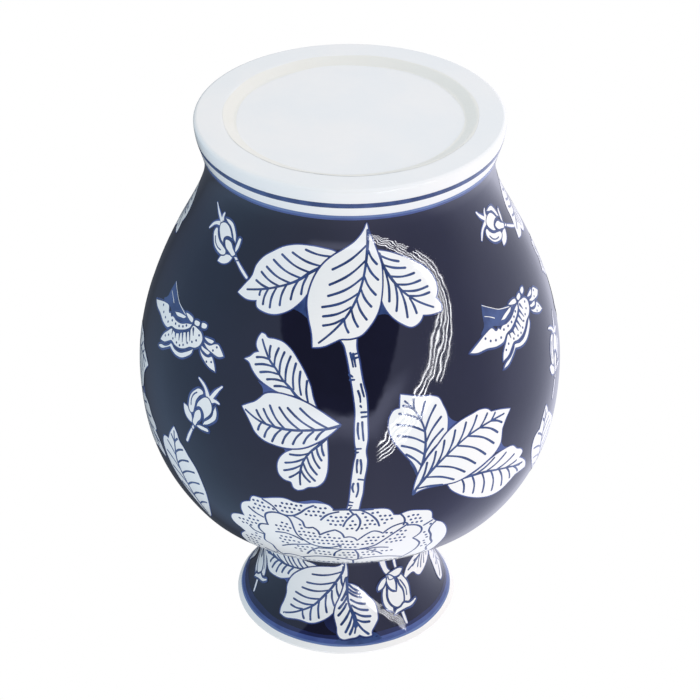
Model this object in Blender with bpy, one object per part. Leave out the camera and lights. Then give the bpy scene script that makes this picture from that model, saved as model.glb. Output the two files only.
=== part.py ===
"""A glazed pottery vase, made as a potter makes one this size: four clay sections, each formed
by itself, luted edge to edge with rings of slip. Metres, +Z up, origin at the middle of the foot."""

import math

import bmesh
import bpy

# Overall shape: each radius is the outside of the wall, at its own height.
HEIGHT = 0.305
FOOT_RADIUS = 0.0794
ANKLE_RADIUS = 0.0744
ANKLE_HEIGHT = 0.0263
HIP_RADIUS = 0.0941
HIP_HEIGHT = 0.0758
HIP_SLOPE = 0.476
BELLY_RADIUS = 0.1127
BELLY_HEIGHT = 0.1473
SHOULDER_RADIUS = 0.0935
SHOULDER_HEIGHT = 0.2140
SHOULDER_SLOPE = -0.723
NECK_RADIUS = 0.0458
NECK_HEIGHT = 0.2559
MOUTH_RADIUS = 0.0634
MOUTH_SLOPE = 0.946

# Wall, floor, foot ring and lip.
WALL = 0.0052
FLOOR_THICKNESS = 0.0075
FLOOR_CORNER = 0.010
RECESS_DEPTH = 0.003
RECESS_BEVEL = 0.0065
FOOT_RING_WIDTH = 0.0125
FOOT_EDGE = 0.0020
LIP_EDGE = 0.0020

# The luted joints: where each lies, how much slip it holds, and how far the slip stands inside.
FOOT_JOINT_HEIGHT = ANKLE_HEIGHT
BELLY_JOINT_HEIGHT = 0.150
NECK_JOINT_HEIGHT = 0.243
SLIP_THICKNESS = 0.0012
SLIP_RIDGE = 0.0010
JOINT_CLEARANCE = 0.0003

# How finely the round surfaces are faceted.
SEGMENTS = 48
WALL_STEPS = 7
CORNER_STEPS = 4

SLIP = {"colour": (0.80, 0.78, 0.72, 1.0), "roughness": 0.85}
WHITE_GLAZE = {"colour": (0.88, 0.90, 0.92, 1.0), "roughness": 0.12}
COBALT_GLAZE = {"colour": (0.012, 0.014, 0.055, 1.0), "roughness": 0.08}

# Height, radius and slope of the outside wall at each station, from the foot edge to the mouth.
STATIONS = (
    (FOOT_EDGE, FOOT_RADIUS, 0.0),
    (ANKLE_HEIGHT, ANKLE_RADIUS, 0.0),
    (HIP_HEIGHT, HIP_RADIUS, HIP_SLOPE),
    (BELLY_HEIGHT, BELLY_RADIUS, 0.0),
    (SHOULDER_HEIGHT, SHOULDER_RADIUS, SHOULDER_SLOPE),
    (NECK_HEIGHT, NECK_RADIUS, 0.0),
    (HEIGHT, MOUTH_RADIUS, MOUTH_SLOPE),
)


def wall_at(height):
    """The outside radius and its slope at a height, on the cubic between the two stations round it."""
    low, high = next(
        (a, b) for a, b in zip(STATIONS, STATIONS[1:]) if height <= b[0] or b is STATIONS[-1]
    )
    span = high[0] - low[0]
    t = (height - low[0]) / span
    radius = (
        low[1] * (2 * t**3 - 3 * t**2 + 1)
        + low[2] * span * (t**3 - 2 * t**2 + t)
        + high[1] * (3 * t**2 - 2 * t**3)
        + high[2] * span * (t**3 - t**2)
    )
    slope = (
        (high[1] - low[1]) * (6 * t - 6 * t**2) / span
        + low[2] * (3 * t**2 - 4 * t + 1)
        + high[2] * (3 * t**2 - 2 * t)
    )
    return radius, slope


def outside(height):
    return wall_at(height)[0]


def inside(height, proud=0.0):
    """The inside radius, with the wall's thickness measured square to its surface."""
    radius, slope = wall_at(height)
    return radius - (WALL + proud) * math.hypot(1.0, slope)


def heights(low, high, steps=WALL_STEPS):
    return [low + (high - low) * i / steps for i in range(steps + 1)]


def arc(centre, radius, start, end, steps=CORNER_STEPS):
    """Points on a circle in the section, from one angle in degrees to another."""
    turns = [math.radians(start + (end - start) * i / steps) for i in range(steps + 1)]
    return [(centre[0] + radius * math.cos(a), centre[1] + radius * math.sin(a)) for a in turns]


def glaze(name, look):
    material = bpy.data.materials.new(name)
    material.use_nodes = True
    shader = material.node_tree.nodes["Principled BSDF"]
    shader.inputs["Base Color"].default_value = look["colour"]
    shader.inputs["Roughness"].default_value = look["roughness"]
    shader.inputs["Metallic"].default_value = 0.0
    return material


def turned(name, outline, material):
    """A solid turned about +Z from its half section, a closed loop of (radius, height)."""
    mesh = bmesh.new()
    points = [mesh.verts.new((radius, 0.0, height)) for radius, height in outline]
    edges = [mesh.edges.new(pair) for pair in zip(points, points[1:])]
    if min(radius for radius, _ in outline) > 0.0:
        edges.append(mesh.edges.new((points[-1], points[0])))
    bmesh.ops.spin(
        mesh,
        geom=points + edges,
        axis=(0.0, 0.0, 1.0),
        cent=(0.0, 0.0, 0.0),
        angle=math.tau,
        steps=SEGMENTS,
        use_merge=True,
    )
    bmesh.ops.remove_doubles(mesh, verts=mesh.verts, dist=1e-6)
    bmesh.ops.recalc_face_normals(mesh, faces=mesh.faces)
    data = bpy.data.meshes.new(name)
    mesh.to_mesh(data)
    mesh.free()
    data.materials.append(material)
    data.shade_smooth()
    data.set_sharp_from_angle(angle=math.radians(40))
    made = bpy.data.objects.new(name, data)
    bpy.context.scene.collection.objects.link(made)
    return made


def section_edge(joint, side):
    """Where a clay section stops, below (-1) or above (+1) the slip of a joint."""
    return joint + side * (SLIP_THICKNESS / 2 + JOINT_CLEARANCE)


def foot_and_floor(material):
    """The foot ring, its recess and the floor of the vase, up to the joint at the ankle."""
    top = section_edge(FOOT_JOINT_HEIGHT, -1)
    ring_outside = FOOT_RADIUS - FOOT_EDGE
    ring_inside = ring_outside - FOOT_RING_WIDTH
    recess = [(0.0, RECESS_DEPTH), (ring_inside - RECESS_BEVEL, RECESS_DEPTH), (ring_inside, 0.0)]
    edge = arc((ring_outside, FOOT_EDGE), FOOT_EDGE, -90, 0)
    wall = [(outside(z), z) for z in heights(FOOT_EDGE, top, 4)][1:]
    floor = RECESS_DEPTH + FLOOR_THICKNESS
    corner_top = floor + FLOOR_CORNER
    inner = [(inside(z), z) for z in (top, corner_top)]
    corner = arc((inside(corner_top) - FLOOR_CORNER, corner_top), FLOOR_CORNER, 0, -90)[1:]
    return turned(
        "foot_and_floor", recess + edge + wall + inner + corner + [(0.0, floor)], material
    )


def wall_section(name, low, high, material):
    """A ring of wall between two heights."""
    outer = [(outside(z), z) for z in heights(low, high)]
    inner = [(inside(z), z) for z in reversed(heights(low, high))]
    return turned(name, outer + inner, material)


def neck_and_mouth(material):
    """The narrow neck, flaring to a rounded lip with a flat on top."""
    low = section_edge(NECK_JOINT_HEIGHT, 1)
    bend = HEIGHT - LIP_EDGE
    outer = [(outside(z), z) for z in heights(low, bend, WALL_STEPS + 2)]
    inner = [(inside(z), z) for z in reversed(heights(low, bend, WALL_STEPS + 2))]
    lip = (
        arc((outside(bend) - LIP_EDGE, bend), LIP_EDGE, 0, 90)[1:]
        + arc((inside(bend) + LIP_EDGE, bend), LIP_EDGE, 90, 180)[:-1]
    )
    return turned("neck_and_mouth", outer + lip + inner, material)


def slip_joint(name, joint, material):
    """The ring of slip in a joint, flush outside and standing as a low ridge inside."""
    low, high = joint - SLIP_THICKNESS / 2, joint + SLIP_THICKNESS / 2
    outline = [
        (outside(low), low),
        (outside(high), high),
        (inside(high, SLIP_RIDGE), high),
        (inside(low, SLIP_RIDGE), low),
    ]
    return turned(name, outline, material)


def build():
    for old in list(bpy.data.objects):
        bpy.data.objects.remove(old)
    white = glaze("white_glaze", WHITE_GLAZE)
    cobalt = glaze("cobalt_glaze", COBALT_GLAZE)
    slip = glaze("fired_slip", SLIP)
    foot_and_floor(white)
    wall_section(
        "lower_body",
        section_edge(FOOT_JOINT_HEIGHT, 1),
        section_edge(BELLY_JOINT_HEIGHT, -1),
        cobalt,
    )
    wall_section(
        "upper_body",
        section_edge(BELLY_JOINT_HEIGHT, 1),
        section_edge(NECK_JOINT_HEIGHT, -1),
        cobalt,
    )
    neck_and_mouth(cobalt)
    slip_joint("foot_slip_joint", FOOT_JOINT_HEIGHT, slip)
    slip_joint("belly_slip_joint", BELLY_JOINT_HEIGHT, slip)
    slip_joint("neck_slip_joint", NECK_JOINT_HEIGHT, slip)


build()
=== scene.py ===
import math

import bpy
import numpy as np
from mathutils import Matrix, Vector
from mathutils.geometry import delaunay_2d_cdt


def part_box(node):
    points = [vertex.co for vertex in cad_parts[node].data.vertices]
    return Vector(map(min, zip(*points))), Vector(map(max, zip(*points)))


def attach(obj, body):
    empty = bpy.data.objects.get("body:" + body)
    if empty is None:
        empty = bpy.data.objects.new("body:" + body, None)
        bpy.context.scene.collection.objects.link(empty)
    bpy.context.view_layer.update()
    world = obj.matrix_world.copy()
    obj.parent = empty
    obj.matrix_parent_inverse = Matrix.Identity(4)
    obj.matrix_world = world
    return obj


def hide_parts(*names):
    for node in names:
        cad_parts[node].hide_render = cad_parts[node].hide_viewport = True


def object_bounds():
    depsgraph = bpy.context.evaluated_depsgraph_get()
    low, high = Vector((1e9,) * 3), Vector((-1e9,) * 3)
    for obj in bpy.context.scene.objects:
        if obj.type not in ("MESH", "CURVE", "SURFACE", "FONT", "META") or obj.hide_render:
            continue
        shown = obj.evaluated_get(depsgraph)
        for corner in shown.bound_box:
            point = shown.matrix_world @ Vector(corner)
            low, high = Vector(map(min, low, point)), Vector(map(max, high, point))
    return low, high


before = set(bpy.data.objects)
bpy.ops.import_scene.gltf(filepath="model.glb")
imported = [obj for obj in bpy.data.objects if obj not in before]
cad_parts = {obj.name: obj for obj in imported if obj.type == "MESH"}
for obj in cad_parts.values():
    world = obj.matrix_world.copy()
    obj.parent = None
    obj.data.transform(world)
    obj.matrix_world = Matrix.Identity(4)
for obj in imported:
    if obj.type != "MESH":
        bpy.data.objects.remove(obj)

cadLow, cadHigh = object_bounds()
scene = bpy.context.scene

# A place on the vase is (turn, height): degrees round the axis from the front, growing
# towards +X, and millimetres up from the foot. Everything else is in metres.


# Wiring for the shaders.

class Wire:
    def __init__(self, tree, socket):
        self.tree, self.socket = tree, socket

    def __add__(self, other):
        return self.tree.maths("ADD", self, other)

    def __sub__(self, other):
        return self.tree.maths("SUBTRACT", self, other)

    def __rsub__(self, other):
        return self.tree.maths("SUBTRACT", other, self)

    def __mul__(self, other):
        return self.tree.maths("MULTIPLY", self, other)

    def __truediv__(self, other):
        return self.tree.maths("DIVIDE", self, other)

    def __pow__(self, other):
        return self.tree.maths("POWER", self, other)

    def __neg__(self):
        return self.tree.maths("MULTIPLY", self, -1.0)

    __radd__ = __add__
    __rmul__ = __mul__


class Tree:
    def __init__(self, nodeTree):
        self.nodeTree = nodeTree
        nodeTree.nodes.clear()

    def add(self, kind, settings=None, sockets=None, output=0):
        node = self.nodeTree.nodes.new(kind)
        for key, value in (settings or {}).items():
            if key == "stops":
                while len(node.color_ramp.elements) < len(value):
                    node.color_ramp.elements.new(0.5)
                for stop, (place, colour) in zip(node.color_ramp.elements, value):
                    stop.position, stop.color = place, colour
            else:
                setattr(node, key, value)
        for key, value in (sockets or {}).items():
            if isinstance(value, Wire):
                self.nodeTree.links.new(value.socket, node.inputs[key])
            else:
                node.inputs[key].default_value = value
        return Wire(self, node.outputs[output] if len(node.outputs) else None)

    def maths(self, operation, a, b=0.0):
        return self.add("ShaderNodeMath", {"operation": operation}, {0: a, 1: b})

    def mix(self, factor, a, b, blend="MIX"):
        settings = {"data_type": "RGBA", "blend_type": blend}
        return self.add("ShaderNodeMix", settings, {0: factor, 6: a, 7: b}, output=2)

    def noise(self, where, scale, detail, roughness=0.5):
        sockets = {"Vector": where, "Scale": scale, "Detail": detail, "Roughness": roughness}
        return self.add("ShaderNodeTexNoise", None, sockets)

    def ramp(self, factor, low, high):
        settings = {"interpolation_type": "SMOOTHSTEP"}
        sockets = {"Value": factor, "From Min": low, "From Max": high}
        return self.add("ShaderNodeMapRange", settings, sockets)


def colour(r, g, b):
    return (r, g, b, 1.0)


# The form of the vase.

vaseForm = {
    "footEdge": 0.0020,                       # rounding under the foot
    "ankle": (0.0263, 0.0744, 0.0),           # height, radius and slope of the wall
    "hip": (0.0758, 0.0941, 0.476),
    "bellyHeight": 0.1473,
    "shoulder": (0.2140, 0.0935, -0.723),
    "neck": (0.2559, 0.0458, 0.0),
    "mouth": (0.0634, 0.946),                 # radius and slope
    "wall": 0.0052,
    "lipEdge": 0.0020,
    "ripple": 0.00011,                        # unevenness left by the hand that turned it
    "neckLean": 0.0024,                       # how far the neck leans towards +X
    "leanFrom": 0.205,
    "leanTo": 0.254,
}

stations = np.array([
    (vaseForm["footEdge"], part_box("foot_and_floor")[1].x, 0.0),
    vaseForm["ankle"],
    vaseForm["hip"],
    (vaseForm["bellyHeight"], cadHigh.x, 0.0),
    vaseForm["shoulder"],
    vaseForm["neck"],
    (cadHigh.z, *vaseForm["mouth"]),
])


def smoothStep(t):
    t = np.clip(t, 0.0, 1.0)
    return t * t * (3.0 - 2.0 * t)


def wallAt(z):
    # outside radius and its slope at a height
    z = np.asarray(z, float)
    i = np.clip(np.searchsorted(stations[:, 0], z, side="right") - 1, 0, len(stations) - 2)
    low, high = stations[i], stations[i + 1]
    span = high[..., 0] - low[..., 0]
    t = np.clip((z - low[..., 0]) / span, 0.0, 1.0)
    radius = (
        low[..., 1] * (2 * t**3 - 3 * t**2 + 1)
        + low[..., 2] * span * (t**3 - 2 * t**2 + t)
        + high[..., 1] * (3 * t**2 - 2 * t**3)
        + high[..., 2] * span * (t**3 - t**2)
    )
    slope = (
        (high[..., 1] - low[..., 1]) * (6 * t - 6 * t**2) / span
        + low[..., 2] * (3 * t**2 - 4 * t + 1)
        + high[..., 2] * (3 * t**2 - 2 * t)
    )
    return radius, slope


def turnedPoint(turn, radius, z):
    # a point at a radius, with the hand's unevenness and the lean of the neck
    turn, radius, z = np.broadcast_arrays(np.asarray(turn, float), radius, z)
    a, h = np.radians(turn), z / cadHigh.z
    waves = (
        0.5 * np.sin(5 * a + 9 * h + 1) + 0.3 * np.sin(9 * a - 17 * h)
        + 0.2 * np.sin(14 * a + 26 * h + 4)
    )
    r = radius + vaseForm["ripple"] * waves * smoothStep(z / vaseForm["ankle"][0])
    span = vaseForm["leanTo"] - vaseForm["leanFrom"]
    lean = vaseForm["neckLean"] * smoothStep((z - vaseForm["leanFrom"]) / span)
    return np.stack([r * np.sin(a) + lean, -r * np.cos(a), z], -1)


def vaseNormal(turn, z):
    # square to the outside of the wall
    turn, z = np.broadcast_arrays(np.asarray(turn, float), z)
    across = turnedPoint(turn + 0.2, wallAt(z)[0], z) - turnedPoint(turn - 0.2, wallAt(z)[0], z)
    step = 0.0002
    low, high = z - step, z + step
    up = turnedPoint(turn, wallAt(high)[0], high) - turnedPoint(turn, wallAt(low)[0], low)
    n = np.cross(across, up)
    return n / np.linalg.norm(n, axis=-1, keepdims=True)


def vasePoint(turn, z, lift=0.0):
    return turnedPoint(turn, wallAt(z)[0], z) + np.asarray(lift)[..., None] * vaseNormal(turn, z)


def perDegree(height):
    # millimetres round the wall for one degree of turn
    return np.radians(1.0) * wallAt(np.asarray(height, float) / 1000)[0] * 1000


def perHeight(height):
    # millimetres along the wall for one millimetre of height
    return np.hypot(1.0, wallAt(np.asarray(height, float) / 1000)[1])


def wallScale(height):
    # both, for turning a place on the vase into millimetres
    return np.stack([perDegree(height), perHeight(height)], -1)


def ringFaces(rows, count):
    # quads between rows of points that run right round
    faces = []
    for row in range(rows - 1):
        low, high = row * count, (row + 1) * count
        for k in range(count):
            n = (k + 1) % count
            faces.append((low + k, low + n, high + n, high + k))
    return faces


def makeMesh(name, points, faces, materials, faceMaterials=None, normals=None):
    mesh = bpy.data.meshes.new(name)
    mesh.from_pydata([tuple(p) for p in points], [], faces)
    for material in materials:
        mesh.materials.append(material)
    if faceMaterials is not None:
        mesh.polygons.foreach_set("material_index", faceMaterials)
    mesh.shade_smooth()
    if normals is not None:
        mesh.normals_split_custom_set_from_vertices([tuple(n) for n in normals])
    mesh.update()
    piece = bpy.data.objects.new(name, mesh)
    scene.collection.objects.link(piece)
    return piece


# Finishes.

def newMaterial(name):
    material = bpy.data.materials.new(name)
    material.use_nodes = True
    return material, Tree(material.node_tree)


def finishSurface(tree, baseColour, roughness, bump):
    sockets = {"Base Color": baseColour, "Roughness": roughness, "Normal": bump, "IOR": 1.5}
    shader = tree.add("ShaderNodeBsdfPrincipled", None, sockets)
    tree.add("ShaderNodeOutputMaterial", None, {"Surface": shader})


def place(tree):
    return tree.add("ShaderNodeTexCoord", output=3)


def glaze(name, look):
    # a clear gloss over a colour that pools and thins
    material, tree = newMaterial(name)
    where = place(tree)
    pooled = tree.ramp(tree.noise(where, look["poolScale"], 3.0), 0.35, 0.68)
    fine = tree.noise(where, look["fineScale"], 2.0)
    body = tree.mix(pooled, colour(*look["thin"]), colour(*look["pooled"]))
    body = tree.mix(fine * look["fineShare"], body, colour(*look["fleck"]))
    skin = tree.noise(where, look["skinScale"], 1.0) + tree.noise(where, look["poolScale"], 1.0) * 6.0
    bump = tree.add(
        "ShaderNodeBump", None, {"Strength": look["skin"], "Distance": 0.0001, "Height": skin}
    )
    roughness = look["roughness"] + pooled * look["roughnessSpread"]
    finishSurface(tree, body, roughness, bump)
    return material


whiteCoat = {
    "poolScale": 22.0, "fineScale": 210.0, "fineShare": 0.25,
    "skinScale": 160.0, "skin": 0.25, "roughness": 0.05, "roughnessSpread": 0.04,
}
brushCoat = {
    "fineScale": 300.0, "fineShare": 0.3,
    "skinScale": 140.0, "skin": 0.3, "roughness": 0.05, "roughnessSpread": 0.03,
}
glazeLooks = {
    "whiteGlaze": {
        **whiteCoat, "thin": (0.84, 0.875, 0.905), "pooled": (0.88, 0.895, 0.91),
        "fleck": (0.78, 0.83, 0.88),
    },
    # the same white glaze painted lighter for the lip: painted light, standing in for the brighter light
    # on the lip
    "paintedLitLipGlaze": {
        **whiteCoat, "thin": (0.925, 0.94, 0.945), "pooled": (0.94, 0.95, 0.95),
        "fleck": (0.89, 0.92, 0.94),
    },
    "cobaltGlaze": {
        "thin": (0.0066, 0.0072, 0.021), "pooled": (0.0045, 0.0052, 0.0145),
        "fleck": (0.009, 0.0105, 0.030), "poolScale": 18.0, "fineScale": 150.0, "fineShare": 0.35,
        "skinScale": 140.0, "skin": 0.35, "roughness": 0.035, "roughnessSpread": 0.03,
    },
    "brushedLine": {
        **brushCoat, "thin": (0.040, 0.078, 0.225), "pooled": (0.016, 0.036, 0.125),
        "fleck": (0.060, 0.105, 0.270), "poolScale": 120.0, "fineScale": 420.0,
    },
    "blueEdge": {
        **brushCoat, "thin": (0.058, 0.098, 0.300), "pooled": (0.030, 0.056, 0.210),
        "fleck": (0.10, 0.15, 0.38), "poolScale": 60.0,
    },
    "paleEdge": {
        **brushCoat, "thin": (0.125, 0.200, 0.440), "pooled": (0.085, 0.145, 0.350),
        "fleck": (0.16, 0.24, 0.48), "poolScale": 40.0,
    },
    "deepEdge": {
        **brushCoat, "thin": (0.014, 0.021, 0.085), "pooled": (0.008, 0.012, 0.046),
        "fleck": (0.022, 0.034, 0.120), "poolScale": 60.0,
    },
}


def clay(name, look):
    # fired and unglazed: matt, with fine grain and a few darker specks
    material, tree = newMaterial(name)
    where = place(tree)
    mottled = tree.noise(where, look["mottle"], 4.0)
    grain = tree.noise(where, look["grain"], 3.0, 0.7)
    body = tree.mix(mottled, colour(*look["pale"]), colour(*look["warm"]))
    body = tree.mix(tree.ramp(grain, 0.62, 0.75) * 0.5, body, colour(*look["speck"]))
    bump = tree.add("ShaderNodeBump", None, {"Strength": 0.5, "Distance": 0.0001, "Height": grain})
    finishSurface(tree, body, 0.72 + mottled * 0.15, bump)
    return material


clayLooks = {
    "bareClay": {"pale": (0.81, 0.83, 0.825), "warm": (0.785, 0.79, 0.755), "speck": (0.72, 0.71, 0.66),
                 "mottle": 60.0, "grain": 1500.0},
    "firedSlip": {"pale": (0.80, 0.78, 0.71), "warm": (0.72, 0.68, 0.60), "speck": (0.55, 0.50, 0.42),
                  "mottle": 90.0, "grain": 1300.0},
}

finishes = {name: glaze(name, look) for name, look in glazeLooks.items()}
finishes.update({name: clay(name, look) for name, look in clayLooks.items()})
print("finishes made:", ", ".join(finishes))


# The turned sections.

turning = {
    "segments": 288,
    "rowStep": 0.0016,        # between rows of the wall
    "cornerSteps": 8,
    "groundFrom": 0.0160,     # the cobalt ground starts here
    "groundTo": 0.2990,       # and stops here, under the lip
    "recessDepth": 0.003,
    "recessBevel": 0.0065,
    "ringWidth": 0.0125,
    "floor": 0.0075,
    "floorCorner": 0.010,
    "ridge": 0.0010,          # how far the slip stands inside
    "ridgeHeight": 0.0035,
}


def wallRows(low, high):
    steps = max(2, round(abs(high - low) / turning["rowStep"]))
    return [(float(wallAt(z)[0]), z, None) for z in np.linspace(low, high, steps + 1)]


def insideRows(low, high):
    steps = max(2, round(abs(high - low) / turning["rowStep"] / 2))
    rows = []
    for z in np.linspace(low, high, steps + 1):
        radius, slope = (float(x) for x in wallAt(z))
        length = math.hypot(1.0, slope)
        rows.append((radius - vaseForm["wall"] * length, z, (-1.0 / length, slope / length)))
    return rows


def arcRows(centre, radius, start, end):
    rows = []
    for angle in np.radians(np.linspace(start, end, turning["cornerSteps"] + 1)):
        normal = (math.cos(angle), math.sin(angle))
        rows.append((centre[0] + radius * normal[0], centre[1] + radius * normal[1], normal))
    return rows


def turnSection(name, rows, materials, materialOf, replaced, capped=False):
    # rows run once round the half section; capped rows start and end on the axis
    count = turning["segments"]
    turns = np.arange(count) * 360.0 / count
    points, normals = [], []
    for radius, z, normal in rows:
        if radius < 1e-6:
            points.append([(0.0, 0.0, z)])
            normals.append([(0.0, 0.0, normal[1])])
            continue
        points.append(turnedPoint(turns, radius, z))
        if normal is None:
            normals.append(vaseNormal(turns, np.full(count, z)))
        else:
            a = np.radians(turns)
            flat = np.stack([normal[0] * np.sin(a), -normal[0] * np.cos(a), 0 * a + normal[1]], -1)
            normals.append(flat)
    starts = np.cumsum([0] + [len(p) for p in points])
    faces, faceMaterials = [], []
    last = len(rows) - 1 if capped else len(rows)
    for i in range(last):
        j = (i + 1) % len(rows)
        kind = materialOf(rows[i], rows[j])
        for k in range(count):
            n = (k + 1) % count
            a, b = starts[i] + k, starts[i] + n
            c, d = starts[j] + n, starts[j] + k
            if len(points[i]) == 1:
                face = (starts[i], c, d)
            elif len(points[j]) == 1:
                face = (a, b, starts[j])
            else:
                face = (a, b, c, d)
            faces.append(tuple(int(x) for x in face))
            faceMaterials.append(kind)
    piece = makeMesh(
        name, np.concatenate(points), faces, materials, faceMaterials, np.concatenate(normals)
    )
    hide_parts(replaced)
    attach(piece, "root")


white, ground = finishes["whiteGlaze"], finishes["cobaltGlaze"]


def jointHeight(name):
    low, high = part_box(name)
    return (low.z + high.z) / 2


def turnFoot():
    edge, ring = vaseForm["footEdge"], turning["ringWidth"]
    top = jointHeight("foot_slip_joint")
    ringOutside = float(stations[0, 1]) - edge
    ringInside = ringOutside - ring
    recessInside = ringInside - turning["recessBevel"]
    depth = turning["recessDepth"]
    down = (0.0, -1.0)
    slope = (-depth, -turning["recessBevel"])
    slope = tuple(x / math.hypot(*slope) for x in slope)
    rows = [(0.0, depth, down)]
    rows += [(r, depth, down) for r in np.linspace(0.008, recessInside - 0.0012, 9)]
    rows += [(recessInside, depth - 0.0001, (0.25 * slope[0], -1.0))]
    rows += [(recessInside + 0.0012, depth - 0.0006, slope)]
    rows += [(ringInside - 0.0008, 0.0003, slope), (ringInside, 0.00005, (0.2 * slope[0], -1.0))]
    rows += [(ringInside + 0.001, 0.0, down)]
    rows += arcRows((ringOutside, edge), edge, -90, 0)[:-1]
    rows += wallRows(edge, turning["groundFrom"]) + wallRows(turning["groundFrom"], top)[1:]
    floor, corner = depth + turning["floor"], turning["floorCorner"]
    inner = insideRows(top, floor + corner)
    rows += inner
    bend = arcRows((inner[-1][0] - corner, floor + corner), corner, 0, -90)[1:]
    rows += [(r, z, (-n[0], -n[1])) for r, z, n in bend] + [(0.0, floor, (0.0, 1.0))]

    def materialOf(a, b):
        outside = a[2] is None and b[2] is None
        return 1 if outside and min(a[1], b[1]) >= turning["groundFrom"] - 1e-6 else 0

    turnSection(
        "foot_and_floor_glazed", rows, [white, ground], materialOf,
        "foot_and_floor", capped=True,
    )


def turnWall(name, replaced, lowJoint, highJoint):
    low, high = jointHeight(lowJoint), jointHeight(highJoint)
    rows = wallRows(low, high) + insideRows(high, low)

    def materialOf(a, b):
        return 1 if a[2] is None and b[2] is None else 0

    turnSection(name, rows, [white, ground], materialOf, replaced)


def turnNeck():
    low = jointHeight("neck_slip_joint")
    edge = vaseForm["lipEdge"]
    bend = cadHigh.z - edge
    rows = wallRows(low, turning["groundTo"]) + wallRows(turning["groundTo"], bend)[1:]
    inner = insideRows(bend, low)
    rows += arcRows((rows[-1][0] - edge, bend), edge, 0, 90)[1:]
    rows += arcRows((inner[0][0] + edge, bend), edge, 90, 180)[:-1]
    rows += inner

    def materialOf(a, b):
        outside = a[2] is None and b[2] is None
        # over the lip the white glaze is a lighter copy, painted light for a brighter lip
        if max(a[1], b[1]) > turning["groundTo"] + 1e-6:
            return 2
        return 1 if outside else 0

    turnSection(
        "neck_and_mouth_glazed", rows, [white, ground, finishes["paintedLitLipGlaze"]],
        materialOf, "neck_and_mouth",
    )


def turnSlipRidge(name, replaced):
    # inside, where two sections were luted and the slip was wiped round
    middle, half = jointHeight(replaced), turning["ridgeHeight"] / 2
    rows = []
    for share in np.linspace(-1.0, 1.0, 9):
        z = middle + share * half
        radius, slope = (float(x) for x in wallAt(z))
        length = math.hypot(1.0, slope)
        proud = turning["ridge"] * math.cos(share * math.pi / 2) ** 2 - 0.0002
        rows.append((radius - (vaseForm["wall"] + proud) * length, z, (-1.0 / length, slope / length)))
    back = [(r + 0.0016, z, (1.0, 0.0)) for r, z, _ in (rows[-1], rows[0])]
    turnSection(
        name, rows[::-1] + back[::-1], [finishes["firedSlip"]], lambda a, b: 0, replaced
    )


turnFoot()
turnWall("lower_body_glazed", "lower_body", "foot_slip_joint", "belly_slip_joint")
turnWall("upper_body_glazed", "upper_body", "belly_slip_joint", "neck_slip_joint")
turnNeck()
for joint in ("foot", "belly", "neck"):
    turnSlipRidge(f"{joint}_joint_slip", f"{joint}_slip_joint")
print("sections turned")


# Painting on the wall.

brush = {
    "base": 0.05,             # how far the lowest coat stands over the wall
    "coat": 0.02,             # from one coat to the next
    "coats": 4,               # in a layer: deep edge, blue edge, white, line
    "spacing": 1.1,           # between points along a line
    "fill": 2.4,              # between points inside a filled shape
    "waver": 0.12,            # unevenness of a line's width
    "line": 1.3,              # width of a brushed line
    "petal": 1.25,            # of the lines round the petals
    "inner": 0.7,             # of the finest outlines
    "blueEdge": 0.55,         # how far the blue shows round a white shape
    "deepEdge": 0.9,
}
paints = {
    "white": ([white], "white_glaze"),
    "cobalt": ([finishes[tone] for tone in ("brushedLine", "blueEdge", "deepEdge")], "cobalt_line"),
}


def lengths(path):
    middle = path[:, 1].mean()
    steps = np.diff(path, axis=0) * wallScale(middle)
    return np.concatenate([[0.0], np.cumsum(np.hypot(steps[:, 0], steps[:, 1]) + 1e-9)])


def throughPoints(points, spacing, wrap=False):
    # a smooth line through the points, in even steps
    p = np.asarray(points, float)
    t = lengths(p)
    steps = np.diff(p, axis=0) / np.diff(t)[:, None]
    gaps = np.diff(t)
    tangents = np.empty_like(p)
    tangents[1:-1] = (steps[:-1] * gaps[1:, None] + steps[1:] * gaps[:-1, None]) / (
        gaps[1:] + gaps[:-1]
    )[:, None]
    if wrap:
        ends = (steps[-1] * gaps[0] + steps[0] * gaps[-1]) / (gaps[0] + gaps[-1])
        tangents[0] = tangents[-1] = ends
    elif len(p) > 2:
        tangents[0] = 1.5 * steps[0] - 0.5 * tangents[1]
        tangents[-1] = 1.5 * steps[-1] - 0.5 * tangents[-2]
    else:
        tangents[:] = steps[0]
    count = max(2, math.ceil(t[-1] / spacing))
    s = np.linspace(0.0, t[-1], count + 1)
    i = np.clip(np.searchsorted(t, s, side="right") - 1, 0, len(gaps) - 1)
    u = ((s - t[i]) / gaps[i])[:, None]
    g = gaps[i][:, None]
    return (
        p[i] * (2 * u**3 - 3 * u**2 + 1)
        + tangents[i] * g * (u**3 - 2 * u**2 + u)
        + p[i + 1] * (3 * u**2 - 2 * u**3)
        + tangents[i + 1] * g * (u**3 - u**2)
    )


def smoothPath(points, closed=False, spacing=None):
    # a third item on a point marks a sharp corner
    spacing = spacing or brush["spacing"]
    sharp = [i for i, p in enumerate(points) if len(p) > 2]
    plain = [p[:2] for p in points]
    if closed and not sharp:
        return throughPoints(plain + plain[:1], spacing, wrap=True)
    if closed:
        first = sharp[0]
        plain = plain[first:] + plain[:first] + [plain[first]]
        sharp = [i - first for i in sharp] + [len(plain) - 1]
    else:
        sharp = sorted({0, len(plain) - 1, *sharp})
    runs = [throughPoints(plain[a:b + 1], spacing) for a, b in zip(sharp, sharp[1:])]
    return np.concatenate([runs[0]] + [run[1:] for run in runs[1:]])


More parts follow.
